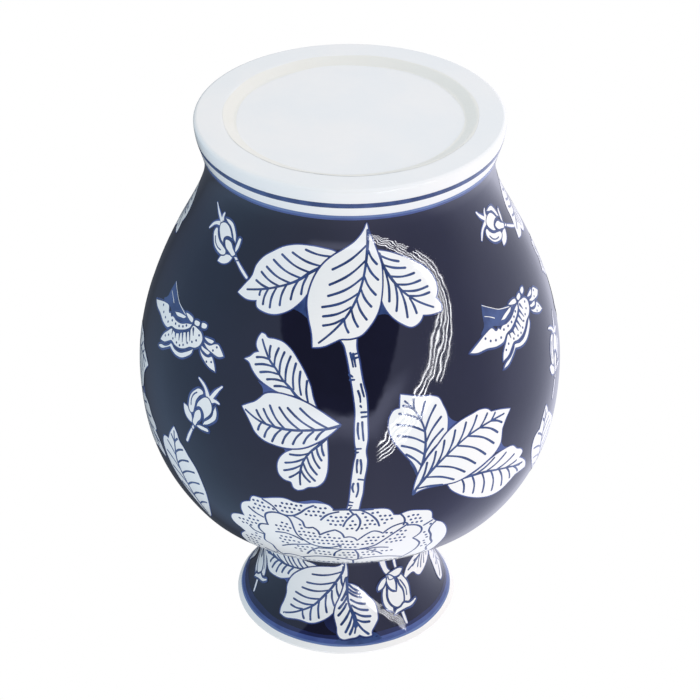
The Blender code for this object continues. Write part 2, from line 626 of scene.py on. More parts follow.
def ribbon(points, width, ends=(1.0, 1.0), closed=False):
    # a brush stroke of even step and slightly uneven width, with round ends
    path = smoothPath(points, closed)
    scale = wallScale(path[:, 1])
    along = np.gradient(path, axis=0)
    if closed:
        along[0] = along[-1] = path[1] - path[-2]
    along = along * scale
    along /= np.linalg.norm(along, axis=1, keepdims=True) + 1e-12
    side = np.stack([-along[:, 1], along[:, 0]], -1)
    share = np.linspace(0.0, 1.0, len(path))
    seed = path[0, 0] * 1.7 + path[0, 1] * 2.3
    swell = np.sin(1.0 if closed else share * math.pi)
    uneven = 1.0 + brush["waver"] * np.sin(share * 7.0 + seed) * swell
    half = width / 2 * (ends[0] + (ends[1] - ends[0]) * share) * uneven
    left = path + side * half[:, None] / scale
    right = path - side * half[:, None] / scale
    count = len(path)
    spots = [*left, *right]
    faces = [(i, count + i, count + i + 1, i + 1) for i in range(count - 1)]
    if not closed:
        for i, sign in ((0, -1.0), (count - 1, 1.0)):
            cap = []
            for angle in (math.radians(x) for x in (45, 90, 135)):
                arm = side[i] * math.cos(angle) + sign * along[i] * math.sin(angle)
                cap.append(len(spots))
                spots.append(path[i] + arm * half[i] / scale[i])
            faces.append((i, *cap, count + i))
    return np.array(spots), faces


def insideOf(points, outline):
    x, y = points[:, 0][:, None], points[:, 1][:, None]
    ax, ay = outline[:, 0], outline[:, 1]
    bx, by = np.roll(ax, -1), np.roll(ay, -1)
    crosses = (ay > y) != (by > y)
    at = ax + (y - ay) * (bx - ax) / np.where(by == ay, 1e-12, by - ay)
    return (crosses & (x < at)).sum(1) % 2 == 1


def filled(points):
    # a shape filled with triangles small enough to follow the wall
    edge = smoothPath(points, closed=True)[:-1]
    middle = edge[:, 1].mean()
    scale = wallScale(middle)
    edge = edge * scale
    low, high = edge.min(0), edge.max(0)
    step = brush["fill"]
    grid = np.array([
        (x + (step / 2 if row % 2 else 0.0), y)
        for row, y in enumerate(np.arange(low[1] + step / 2, high[1], step * 0.87))
        for x in np.arange(low[0] + step / 3, high[0], step)
    ]).reshape(-1, 2)
    if len(grid):
        near = np.linalg.norm(grid[:, None] - edge[None], axis=2).min(1) > step * 0.4
        grid = grid[near & insideOf(grid, edge)]
    spots = np.concatenate([edge, grid]) if len(grid) else edge
    made = delaunay_2d_cdt([Vector(p) for p in spots], [], [list(range(len(edge)))], 1, 1e-4)
    return np.array([tuple(v) for v in made[0]]) / scale, [tuple(f) for f in made[2]]


class Motif:
    # one painted motif: white shapes and cobalt strokes, coat over coat
    def __init__(self, name, pivot):
        self.name, self.pivot = name, np.array(pivot)
        self.coats = {"white": [], "cobalt": []}

    def lay(self, kind, shape, level, tone=0):
        lift = brush["base"] + brush["coat"] * level
        self.coats[kind].append((*shape, lift, tone))

    def shape(self, outline, layer=0, edge=1.0, inner=0.0):
        base = layer * brush["coats"]
        self.lay("cobalt", ribbon(outline, 2 * brush["deepEdge"] * edge, closed=True), base, 2)
        self.lay("cobalt", ribbon(outline, 2 * brush["blueEdge"] * edge, closed=True), base + 1, 1)
        self.lay("white", filled(outline), base + 2)
        if inner:
            self.lay("cobalt", ribbon(outline, inner, closed=True), base + 3)

    def lined(self, outline, layer=0):
        self.shape(outline, layer, 1.1, brush["inner"])

    def wash(self, outline, tone=1, level=0.5):
        self.lay("cobalt", filled(outline), level, tone)

    def line(self, points, width=None, layer=0, ends=(0.9, 0.9)):
        self.lay("cobalt", ribbon(points, width or brush["line"], ends), layer * brush["coats"] + 3)

    def whiteLine(self, points, width, ends=(1.0, 1.0), edge=1.0):
        self.lay("cobalt", ribbon(points, width + 2 * brush["deepEdge"] * edge, ends), 0, 2)
        self.lay("cobalt", ribbon(points, width + 2 * brush["blueEdge"] * edge, ends), 1, 1)
        self.lay("white", ribbon(points, width, ends), 2)

    def dot(self, spot, width):
        corners = 8
        around = np.radians(np.arange(corners) * 360.0 / corners + spot[0] * 40)
        rim = np.stack([np.cos(around), np.sin(around)], -1) * width / 2 / wallScale(spot[1]) + spot
        self.lay("cobalt", (rim, [tuple(range(corners))]), 3)

    def leaf(self, base, tip, sides, rib, veins, layer=0, width=None):
        # two margins from base to tip, a rib, and veins as (start, end) on each side of it
        outline = [(*base, 1), *sides[0], (*tip, 1), *sides[1][::-1]]
        self.shape(outline, layer)
        self.line(rib, brush["line"] * 1.12, layer, (1.1, 0.7))
        forward = np.subtract(tip, base)
        for start, end in veins:
            # each vein bows a little towards the tip
            scale = wallScale(start[1])
            run = np.subtract(end, start) * scale
            lead = forward * scale
            lead = lead / np.linalg.norm(lead)
            bow = lead - run * (lead @ run) / (run @ run)
            middle = np.add(start, end) / 2 + bow * np.linalg.norm(run) * 0.09 / scale
            self.line([start, tuple(middle), end], width, layer, (0.8, 1.0))

    def placed(self, spots, turn, height, spin, size):
        if not spin and size == 1.0:
            return spots + (turn, height)
        there = self.pivot + (turn, height)
        arm = (spots - self.pivot) * wallScale(self.pivot[1]) * size
        c, s = math.cos(math.radians(spin)), math.sin(math.radians(spin))
        arm = np.stack([arm[:, 0] * c - arm[:, 1] * s, arm[:, 0] * s + arm[:, 1] * c], -1)
        return there + arm / wallScale(there[1])

    def paint(self, label, turn, height, spin, size=1.0):
        for kind, coats in self.coats.items():
            spots, lifts, faces, tones, start = [], [], [], [], 0
            for flat, shape, lift, tone in coats:
                moved = self.placed(flat, turn, height, spin, size)
                for face in shape:
                    x, y = moved[list(face)].T
                    outward = (x * np.roll(y, -1) - y * np.roll(x, -1)).sum() > 0
                    faces.append(tuple(start + i for i in (face if outward else face[::-1])))
                    tones.append(tone)
                spots.append(moved)
                lifts.append(np.full(len(moved), lift / 1000))
                start += len(moved)
            spots, lifts = np.concatenate(spots), np.concatenate(lifts)
            z = spots[:, 1] / 1000
            materials, slot = paints[kind]
            piece = makeMesh(
                f"{self.name}_{kind}_{label}", vasePoint(spots[:, 0], z, lifts), faces,
                materials, tones, vaseNormal(spots[:, 0], z),
            )
            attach(piece, "root")


def ribVeins(rib, side, count, reach=0.8, lag=0.16, start=0.06, stop=0.86):
    # veins in even steps along a rib, each leaning towards the tip and stopping short of the edge
    ribPath, edgePath = smoothPath(rib, spacing=0.5), smoothPath(side, spacing=0.5)
    veins = []
    for i in range(count):
        share = start + (stop - start) * i / max(1, count - 1)
        a = ribPath[int(share * (len(ribPath) - 1))]
        b = edgePath[int(min(0.97, share + lag * (1 - share * 0.4)) * (len(edgePath) - 1))]
        veins.append((tuple(a), tuple(a + (b - a) * reach)))
    return veins


# The motifs as they stand on the front panel; the same ones go round the vase.

def sprayMotif():
    # three leaves over the flower's stem
    spray = Motif("spray", (0.0, 60.0))
    leftRib = [(10.5, 44.5), (14.5, 47.7), (17.5, 51), (21, 53.8), (24.5, 56), (28, 58), (36, 61.5)]
    spray.leaf(
        (3, 45), (39.2, 64.2),
        ([(5, 37), (10, 35.3), (15, 34.8), (20, 35.3), (25, 37.5), (29, 41), (33, 45.5), (35, 50),
          (35.5, 55), (37.5, 60)],
         [(10, 52), (14, 56), (16, 60), (20, 65.5), (25, 68.5), (28, 68.5), (31, 67),
          (31.5, 64.5, 1), (35, 65.5)]),
        leftRib,
        [((7, 39), (16.5, 37)), ((10, 44), (21.5, 39.5)), ((14, 47.5), (25.5, 41.5)),
         ((17.5, 50.5), (28.5, 45)), ((21, 53.5), (30.7, 49)), ((24.5, 56), (32.3, 52)),
         ((28, 58), (33.5, 56.3)), ((15, 49), (16.5, 57.5)), ((18, 51.5), (19.8, 60.5)),
         ((22, 54.5), (23.2, 64)), ((25.5, 57), (26.4, 66)), ((28.3, 58.3), (29, 65.5)),
         ((30.8, 59.5), (31, 62))],
    )
    spray.wash([(14, 56, 1), (16, 60), (18.6, 64.4, 1), (15.8, 65.6), (13.2, 68, 1), (13.2, 63)],
               tone=0)
    rightRib = [(-10.8, 38), (-12, 44), (-14, 49), (-16.5, 54), (-19, 58), (-22, 61.5), (-27.5, 66.2)]
    spray.leaf(
        (-9, 36), (-30, 68.5),
        ([(-14, 37.5), (-19, 40.5), (-24, 44.5), (-28, 49), (-30, 54), (-30, 60), (-29, 62.5, 1),
          (-30.2, 66)],
         [(-8.5, 50), (-10.3, 57), (-11, 61), (-13, 66), (-16, 70), (-19.5, 72.5), (-22, 71),
          (-23.5, 68.3, 1), (-27, 69)]),
        rightRib,
        [((-11.2, 39), (-17.8, 42.8)), ((-12, 43.5), (-20, 46.3)), ((-14, 49), (-23, 49.5)),
         ((-16, 53), (-24.8, 53.3)), ((-18, 56.3), (-27, 56.7)), ((-20, 59), (-27.2, 59.5)),
         ((-12.5, 46), (-13, 60)), ((-15.5, 52), (-15, 64.5)), ((-17, 55), (-18.3, 68)),
         ((-20, 60), (-21.5, 67))],
    )
    spray.wash([(-9.8, 58, 1), (-11, 61), (-13, 66.2, 1), (-10.5, 65.2), (-7.8, 66, 1), (-8.5, 62)],
               tone=0)
    centreRib = [(-6.7, 25), (-6.6, 32), (-6, 40), (-5.2, 46), (-4.2, 51), (-3, 55.5), (-1, 61),
                 (1.3, 66), (4, 70.5), (9.3, 77.8)]
    spray.leaf(
        (-6.2, 20.5), (11, 80),
        ([(-5.2, 25), (-2, 31), (2, 35), (6, 38.5), (9, 42), (12, 48), (13.5, 54), (14, 60),
          (13, 67), (11.5, 74)],
         [(-7.3, 27), (-9, 33), (-10.2, 38), (-11.2, 43), (-11.2, 50), (-10.3, 58), (-9.5, 62),
          (-6, 70), (-3, 74), (0, 75.2), (3, 75.5), (5, 77), (8, 79.2)]),
        centreRib,
        [((-6, 33.5), (6.2, 45)), ((-5.5, 41), (7, 52)), ((-4.5, 48.5), (7.3, 57)),
         ((-2.8, 55.5), (9, 62)), ((-0.2, 61.5), (8.5, 66)), ((2, 66.5), (8.3, 70)),
         ((-6.8, 36), (-9.7, 42.8)), ((-6, 42), (-9.8, 50)), ((-5, 48), (-8.6, 56.5)),
         ((-3.8, 54), (-6.9, 61.5)), ((-2.2, 58), (-5.2, 67)), ((-0.5, 62.5), (-2.4, 70)),
         ((1.8, 67), (0.5, 72.5))],
        layer=1,
    )
    return spray


def lowCluster():
    # three leaves on the left, below the spray
    cluster = Motif("low_leaves", (15.0, 115.0))
    cluster.leaf(
        (8.8, 109.3), (27.3, 78),
        ([(10, 104), (11, 98), (12.5, 93), (15, 87), (17.5, 82.5), (20, 80), (23, 79.3),
          (25.3, 79.4), (26.2, 78.2)],
         [(15, 104), (20, 103.3), (23, 101.5), (26, 99), (28.5, 95), (29.5, 92.8), (31.2, 91.8, 1),
          (29.5, 90), (28.5, 88), (27, 86.8, 1), (28.2, 84), (28, 80)]),
        [(11.5, 107), (14.5, 104), (16.5, 100.5), (19, 97), (21, 93), (23.3, 89.5), (25, 85.5),
         (26.7, 80.8)],
        [((11.3, 106), (11.9, 96)), ((13.3, 103), (14, 92)), ((15.5, 101), (15.5, 88.5)),
         ((18, 98), (17.3, 85.7)), ((20, 94.5), (19.3, 84.3)), ((21.8, 91.5), (21.2, 83)),
         ((23.5, 88), (23.8, 82.8)), ((16.5, 100.8), (21, 101)), ((18.5, 98), (23.4, 98.6)),
         ((20.3, 95), (25.7, 96)), ((22, 92), (27.5, 93)), ((23.6, 89), (27.5, 89.5))],
    )
    cluster.leaf(
        (6, 123.5), (13.5, 156),
        ([(5.8, 130), (5.7, 137), (6, 144), (7, 149.5), (8.5, 152.3), (11, 153.5), (12, 155)],
         [(9, 127.5), (14, 131.5), (17, 135), (18.4, 139), (18.8, 143.5), (18.3, 148),
          (17, 150.5), (15.2, 151.5), (14.5, 155)]),
        [(6.3, 124.5), (8, 128), (10.3, 132.5), (12, 138), (12.8, 145), (12.8, 152.5)],
        [((7.3, 127), (6.7, 133.5)), ((8.6, 129.5), (7.3, 136.5)), ((9.8, 132), (7.8, 141)),
         ((11, 135.5), (8.5, 145)), ((12, 139), (9, 149)), ((12.6, 143), (10.3, 150)),
         ((10.5, 133), (15.5, 135)), ((11.5, 136), (16.7, 140.3)), ((12.3, 140), (17, 145)),
         ((12.8, 144), (15.6, 148.8))],
    )
    cluster.wash([(17.5, 104.8, 1), (22, 102.6), (26.2, 100.4, 1), (24.3, 103.6), (24.2, 107.3, 1)])
    cluster.wash([(10, 129, 1), (14, 132), (17.6, 136.8, 1), (16.8, 134), (18.2, 131, 1)])
    cluster.leaf(
        (2.5, 116.5), (29.7, 115),
        ([(5, 113.5), (8, 110), (12, 106.5), (16, 104.7), (20, 104.3), (23.5, 106), (25, 109),
          (26, 110.8), (28, 113)],
         [(4, 119.5), (6, 123), (9, 127), (12, 130), (16, 131.5), (20, 131), (23, 129.5),
          (25.5, 126), (26.5, 123), (28, 119)]),
        [(2.7, 117), (6, 119), (10, 120.3), (15, 121.5), (20, 121.5), (24, 120.3), (28.6, 116.3)],
        [((5.5, 118.8), (13.3, 109.8)), ((9, 120), (16.7, 110.5)), ((13, 121), (19, 111)),
         ((17, 121.7), (21.7, 111)), ((19.5, 121.8), (23.4, 113.5)), ((22.3, 121), (25.4, 115)),
         ((6.5, 119.5), (8.8, 125)), ((9.5, 121), (12, 127.8)), ((12.5, 122), (14.8, 129)),
         ((15.5, 122), (17.6, 129.5)), ((18, 122), (20.4, 129.5)), ((21, 121.5), (22.6, 128)),
         ((23.5, 120.5), (24.5, 125))],
        layer=1,
    )
    return cluster


def broadCluster():
    # three broad leaves on the right
    cluster = Motif("broad_leaves", (-30.0, 145.0))
    rib = [(-17.3, 152), (-18.2, 146), (-19.3, 138), (-19.8, 130), (-19.6, 122), (-18.5, 116),
           (-17, 111), (-14.8, 106.5)]
    left = [(-17.5, 146), (-16.5, 141), (-14.5, 135.5), (-12.5, 130), (-11, 125), (-10.2, 119),
            (-10.6, 113.5), (-11.8, 110.5), (-13.4, 109.8, 1), (-13.6, 106)]
    right = [(-19.5, 143), (-21, 138), (-23, 133), (-25.5, 128.5), (-26.2, 123), (-26.3, 118),
             (-25.3, 112), (-24.3, 108), (-22.5, 106.5), (-19, 105.5), (-16, 104)]
    cluster.leaf(
        (-17.3, 155), (-13.8, 103), (left, right), rib,
        ribVeins(rib, left, 7, 0.78) + ribVeins(rib, right, 7, 0.78),
    )
    rib = [(-29, 158), (-33, 158.5), (-38, 160), (-42, 162.5), (-47, 166), (-52.5, 170.5)]
    lower = [(-27, 162), (-30, 168), (-34, 173.5), (-38, 177.5), (-42, 180), (-46, 180),
             (-49, 177.5), (-51, 175.5, 1), (-54, 176)]
    upper = [(-32, 156), (-36, 156), (-40, 153), (-44, 151.8), (-48, 153), (-50, 157), (-52, 159.5),
             (-52.8, 162), (-51.5, 164.5, 1), (-54, 168.5), (-55.8, 173)]
    cluster.leaf(
        (-26, 158), (-56.3, 176.5), (lower, upper), rib,
        ribVeins(rib, lower, 7, 0.8) + ribVeins(rib, upper, 6, 0.75),
    )
    cluster.wash([(-26, 127.5, 1), (-30, 123.8, 1), (-27.8, 121.5), (-26.3, 117.5, 1)])
    cluster.wash([(-41, 150.5, 1), (-43.2, 145, 1), (-44.2, 149.3), (-46.6, 152, 1)])
    rib = [(-16.5, 160), (-17.5, 156), (-19, 152.5), (-21.5, 147), (-25, 141), (-28, 137),
           (-32, 133), (-36, 131), (-44.5, 130)]
    upper = [(-17, 153), (-18, 147), (-20, 140), (-23, 133.5), (-26, 127.5), (-30, 123.5),
             (-34, 122), (-36.5, 121.5), (-39, 123), (-40, 125.2, 1), (-43, 126.5)]
    lower = [(-18, 158.3), (-20, 157.5), (-24, 157.8), (-29, 158.5), (-34, 156), (-38, 153),
             (-41, 150), (-42.8, 146), (-43.3, 141), (-43.5, 138, 1), (-45, 133.5)]
    cluster.leaf(
        (-16.5, 160), (-47, 129.3), (upper, lower), rib,
        ribVeins(rib, upper, 8, 0.8, lag=0.2) + ribVeins(rib, lower, 8, 0.8, lag=0.2),
        layer=1,
    )
    return cluster


def stemMotif():
    # the stem runs from under the spray to the flower, with long and short bark marks
    stem = Motif("stem", (-2.0, 120.0))
    stem.shape([
        (3.4, 75, 1), (1.7, 78.1), (0.9, 82.4), (0.2, 88), (-0.3, 93), (-1, 100.9), (-1.5, 109.6),
        (-1.3, 118), (-1.4, 127), (-1.7, 131), (-1.1, 137.4), (-0.6, 145), (-0.2, 154), (0.2, 162),
        (0.9, 168, 1), (-2.1, 168, 1), (-2.6, 162), (-3.2, 155.8), (-3.5, 148), (-4.1, 140.7),
        (-4.3, 136), (-4, 131.5), (-4.5, 124), (-4.5, 115), (-4.5, 107), (-4.2, 101), (-3.5, 96),
        (-3, 91), (-2.5, 85), (-1.8, 79), (-2, 74, 1),
    ], edge=1.15)
    barkMarks = [
        [(-0.1, 81.8), (-0.5, 84.6), (-0.9, 88.1)], [(-0.9, 82.1), (-1.3, 85.2), (-1.6, 88)],
        [(-0.7, 82.6), (-2.3, 81.9)], [(-1.5, 84.1), (-2.5, 83.7)], [(0.2, 91.8), (-0.7, 92.8)],
        [(0, 94.3), (-1.2, 94.2)], [(-3, 96.4), (-3.4, 99.7), (-3.8, 102.4)],
        [(-2.2, 99.6), (-2.7, 102.6), (-2.8, 105)], [(-2.8, 107), (-3, 107.6)],
        [(-3, 110.2), (-4.5, 110.1)], [(-3.1, 112.6), (-4.6, 112.3)],
        [(-2.1, 115.7), (-2, 119.8), (-2.3, 124)], [(-3.2, 115.2), (-3.3, 119.8), (-3.5, 124.9)],
        [(-1.3, 129.5), (-2.8, 129.3)], [(-1.4, 131.5), (-2.1, 131.3)],
        [(-1.9, 135.6), (-1.7, 139.8), (-1.8, 143.1)], [(-2.7, 135.7), (-2.9, 139.8), (-2.7, 143.8)],
        [(-2.2, 147.2), (-3.7, 147.7)], [(-0.9, 149.8), (-0.6, 152.6), (-0.9, 155.2)],
        [(-2, 149.7), (-2.1, 154), (-1.6, 158.3)], [(0.1, 161.7), (-0.7, 162)],
        [(0.3, 163.9), (-0.5, 164.1)], [(0.5, 166.8), (-0.2, 165.4)],
    ]
    for mark in barkMarks:
        stem.line(mark, 1.2, ends=(1.05, 0.8))
    return stem


def longLeaf():
    leaf = Motif("long_leaf", (52.0, 175.0))
    rib = [(47.7, 201), (50, 190), (52, 180), (54, 170), (54, 160), (53.8, 150)]
    right = [(46.5, 202), (44.5, 194), (43.5, 187), (43.2, 180), (44, 172), (45.5, 165), (48, 160),
             (50, 156), (51.5, 154), (52.5, 150)]
    left = [(49, 200), (52, 192), (56, 184), (58.8, 176), (60.2, 170), (60.5, 163), (59.5, 159.5),
            (57, 158.5, 1), (56.3, 155), (55, 150.5)]
    leaf.leaf(
        (47.5, 204), (53.7, 147), (right, left), rib,
        ribVeins(rib, right, 7, 0.8, start=0.12) + ribVeins(rib, left, 5, 0.8, start=0.2),
    )
    return leaf


def butterflyMotif():
    fly = Motif("butterfly", (55.0, 96.0))
    fly.wash([(68.5, 78, 1), (62, 84.5), (57, 86), (54, 88), (61, 92), (64, 92), (66, 90.5), (72, 91),
              (70, 88), (69.5, 84)], tone=0)
    for streak in ([(68.4, 78.8), (65.3, 81.8), (62.3, 84.6), (58.7, 86.3), (54.8, 88)],
                   [(68.7, 84), (66.8, 85.4), (65, 87.2)]):
        fly.lay("white", ribbon(streak, 0.45, (0.7, 1.0)), 1.5)
    fly.lined([(77.5, 97, 1), (73, 93.3), (70, 91.3), (67, 90.7), (66.2, 92.6, 1), (65.4, 93),
               (65, 92.3), (64, 93.6, 1), (63, 92.5), (61, 92.8), (58, 92), (55, 89.5), (53, 88.5, 1),
               (53.3, 90.5), (54.5, 92.5), (57, 95), (60, 97), (62, 97.5), (64, 100), (67, 100.3),
               (71, 98.8), (75, 98.5)])
    for spot in ((70.7, 93.7), (69, 96), (67, 97), (64.7, 97.3), (62.7, 94.7), (60.5, 94.5), (58.5, 94),
                 (56.7, 92.7), (55.3, 91)):
        fly.dot(spot, 1.45)
    fly.shape([(63, 90, 1), (60, 88), (56.5, 87.8), (57, 88.8), (59, 90), (61, 90.8)],
              inner=brush["inner"])
    for part in ([(57.5, 86), (53, 86.2), (53, 87.7), (56, 87.3)],
                 [(52.5, 86.3), (49.8, 85.5), (49.8, 87.2), (52.3, 87.7)],
                 [(49.3, 85), (46.7, 84.8), (46.7, 86), (49, 87.3)]):
        fly.lined(part)
    fly.lined([(66.8, 112.5, 1), (65.7, 110.5), (62.5, 108.3), (60.5, 105.5), (60.2, 104.7),
               (57.5, 105.5), (55, 105), (52.5, 102.5), (50.5, 99.8), (49.8, 98.7, 1), (49.8, 101),
               (51.5, 104.5), (54, 107.3), (57, 108), (60, 106.7, 1), (62, 109.3), (64.5, 112)])
    fly.lined([(52.5, 88.7), (50, 88.5), (48, 89.5), (47, 92), (47.3, 95), (49, 98), (51.5, 99.5),
               (53, 101.5), (55.5, 103.5), (58, 104), (60.2, 103.5), (61.5, 105), (63.5, 107.5),
               (66.3, 108.7, 1), (65.5, 105), (63.5, 101), (61.5, 97.8), (59.7, 98.2), (56, 95),
               (53.3, 92)])
    for start, end in (((61, 97.5), (60.8, 100.5)), ((59.2, 98), (58.7, 100.6)),
                       ((57.3, 96.6), (56.7, 100)), ((56, 95.3), (55, 99.5)), ((54.5, 93.5), (53.3, 98)),
                       ((53.3, 91.8), (52, 96.5)), ((52, 90), (51.2, 93))):
        fly.line([start, end], 1.0, ends=(1.5, 0.5))
    for spot in ((64, 104.3), (62.4, 102.3), (59.7, 101.8), (57.5, 102), (55.8, 102), (54.3, 100.5),
                 (52.8, 98.2), (51, 96.2), (49.5, 94.3), (48.9, 91.2)):
        fly.dot(spot, 1.35)
    fly.lined([(46.7, 90.5), (45, 89.8), (42.5, 90), (43, 91.5), (45.5, 91.7)])
    fly.lined([(46.5, 92.7), (44, 92.7), (42, 90.7), (41, 90.3), (39.5, 92), (38, 94.7, 1), (39.5, 96.2),
               (42.5, 95.8), (45, 94.7)])
    fly.lined([(47, 95), (45.5, 95.2), (43, 96), (43.5, 97.5), (45.5, 97.3), (46.8, 96.3)])
    fly.lined([(47.3, 96.7), (45.5, 98.3), (43.3, 98.3), (42.3, 97.2), (41, 99.5), (39.8, 103.8, 1),
               (42.5, 103.2), (45, 101), (46.7, 98.8)])
    for spot in ((41.2, 92), (42.3, 94.3), (43.7, 101), (42, 100)):
        fly.dot(spot, 1.3)
    return fly


def budMotif(name="bud"):
    # a half-open bud with its filaments
    bud = Motif(name, (51.0, 45.0))
    bud.whiteLine([(46.6, 48.5), (44.3, 50.9), (40.9, 54), (37.6, 56.7)], 1.35)
    for knot in ([(45.8, 50.6), (44.4, 50)], [(44.5, 52.2), (43.2, 51.4)]):
        bud.line(knot, 0.8)
    for filament in ([(57, 38.9), (59, 36.8), (60.6, 34.8), (62.2, 32.2)],
                     [(56.5, 38.3), (56.6, 36), (56, 34)],
                     [(57.5, 40.4), (60.5, 42), (63.3, 46.2)]):
        bud.whiteLine(filament, 1.3, ends=(1.7, 0.6), edge=1.1)
    bud.lined([(55, 36, 1), (52, 35.3), (50, 36), (48.3, 38.5), (47, 41.5), (46.5, 44.5, 1), (48, 43.5),
               (49, 41.5), (51, 38.5), (53.5, 37.3)])
    bud.lined([(59, 43.3), (59.8, 46), (58.7, 48.8), (56.8, 51.4), (54, 52.8), (51.2, 53), (49.7, 51.6),
               (49.9, 50.3), (52.3, 48.8), (55, 47.6), (57, 45.4), (58.3, 43)])
    bud.line([(58, 47.3), (56.7, 49.6), (54.8, 50.9), (52.8, 51.2)], 0.8)
    bud.lined([(57.3, 40.5), (56, 38.8), (54, 38), (52, 38.6), (50.5, 40.2), (49, 42.7), (48, 44, 1),
               (50.5, 43.5), (52, 44.2), (52.8, 45.2), (52.5, 47.8, 1), (54, 47.3), (56, 45),
               (57.2, 42.5)])
    bud.lined([(52, 45.5), (50.5, 44.8), (48.5, 45.3), (47, 47.3), (45, 49.5), (46, 51), (48.5, 50),
               (51, 48.5)])
    bud.lined([(46, 47.5), (46, 44), (45.2, 41), (44.4, 41), (44.2, 44), (44.8, 47.5), (45.5, 48.8)])
    bud.shape([(46.2, 51.2), (48.6, 51.3), (51.3, 53.2), (52.2, 56.2, 1), (49.6, 56), (47.2, 54.2)],
              edge=1.1)
    return bud


